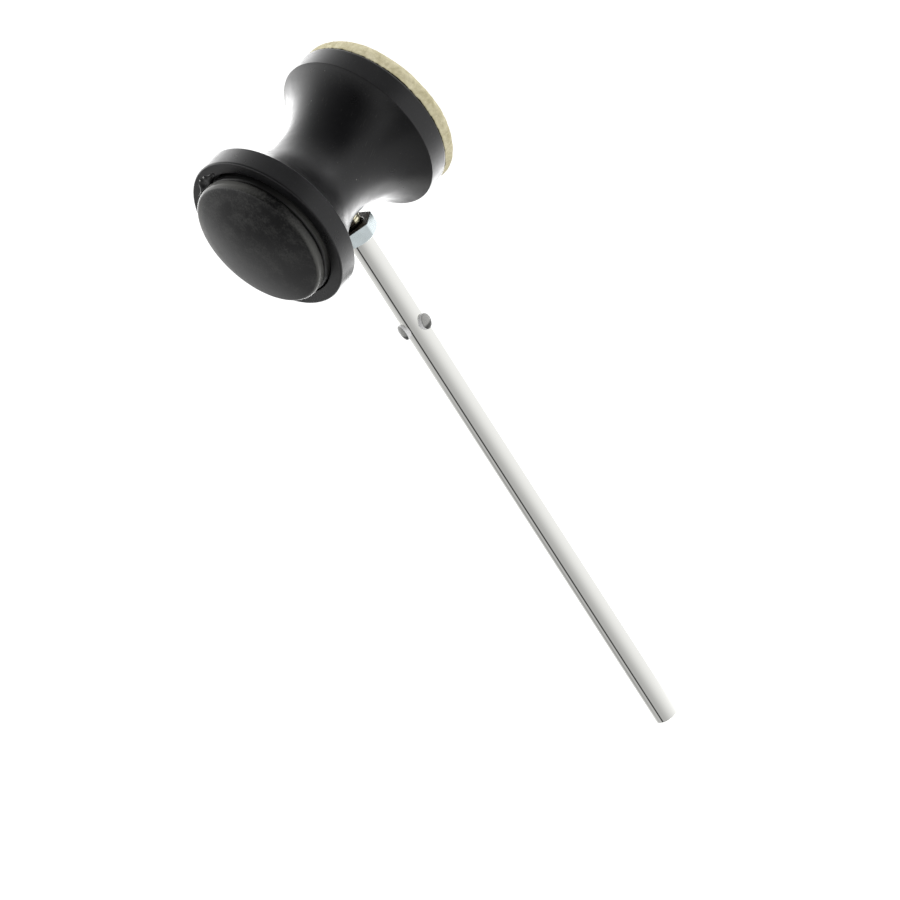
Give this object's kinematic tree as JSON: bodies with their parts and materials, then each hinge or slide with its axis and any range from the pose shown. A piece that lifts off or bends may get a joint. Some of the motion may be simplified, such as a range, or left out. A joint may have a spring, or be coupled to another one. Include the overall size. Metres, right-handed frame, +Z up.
{
  "type": "bass drum beater",
  "caption": "Two-faced bass drum beater: a waisted black head with a domed hard face and a felt face, screwed on a chromed shaft that has stop lugs and a lock nut.",
  "frame": {"origin": "centre of the shaft's lower end, where the pedal's clamp takes it", "axes": "+Z up the shaft to the head, +X along the head's axis towards the felt face at rest"},
  "size_m": [0.0702, 0.056, 0.2481],
  "materials": {
    "chromed_steel": "bright chrome plate on a drawn rod",
    "zinc_plated_steel": "pale blue zinc plate",
    "black_moulding": "satin moulded",
    "insert_brass": "turned",
    "backing_rubber": "cut sheet",
    "hard_cap": "matte moulded hard rubber, scuffed",
    "pressed_felt": "pressed wool felt"
  },
  "bodies": {
    "shaft": {"shaft": "chromed_steel"},
    "head": {"head_core": "black_moulding", "thread_insert": "insert_brass", "cap_backing": "backing_rubber", "striking_cap": "hard_cap", "felt_pad": "pressed_felt"},
    "lock_nut": {"lock_nut": "zinc_plated_steel"}
  },
  "joints": [
    {"name": "head_turn", "type": "hinge", "parent": "shaft", "child": "head", "pos_m": [0, 0, 0.22], "axis": [0, 0, 1], "range_deg": [-180, 180]},
    {"name": "lock_nut_travel", "type": "slide", "parent": "shaft", "child": "lock_nut", "axis": [0, 0, 1], "range_m": [0, 0.0017]}
  ]
}
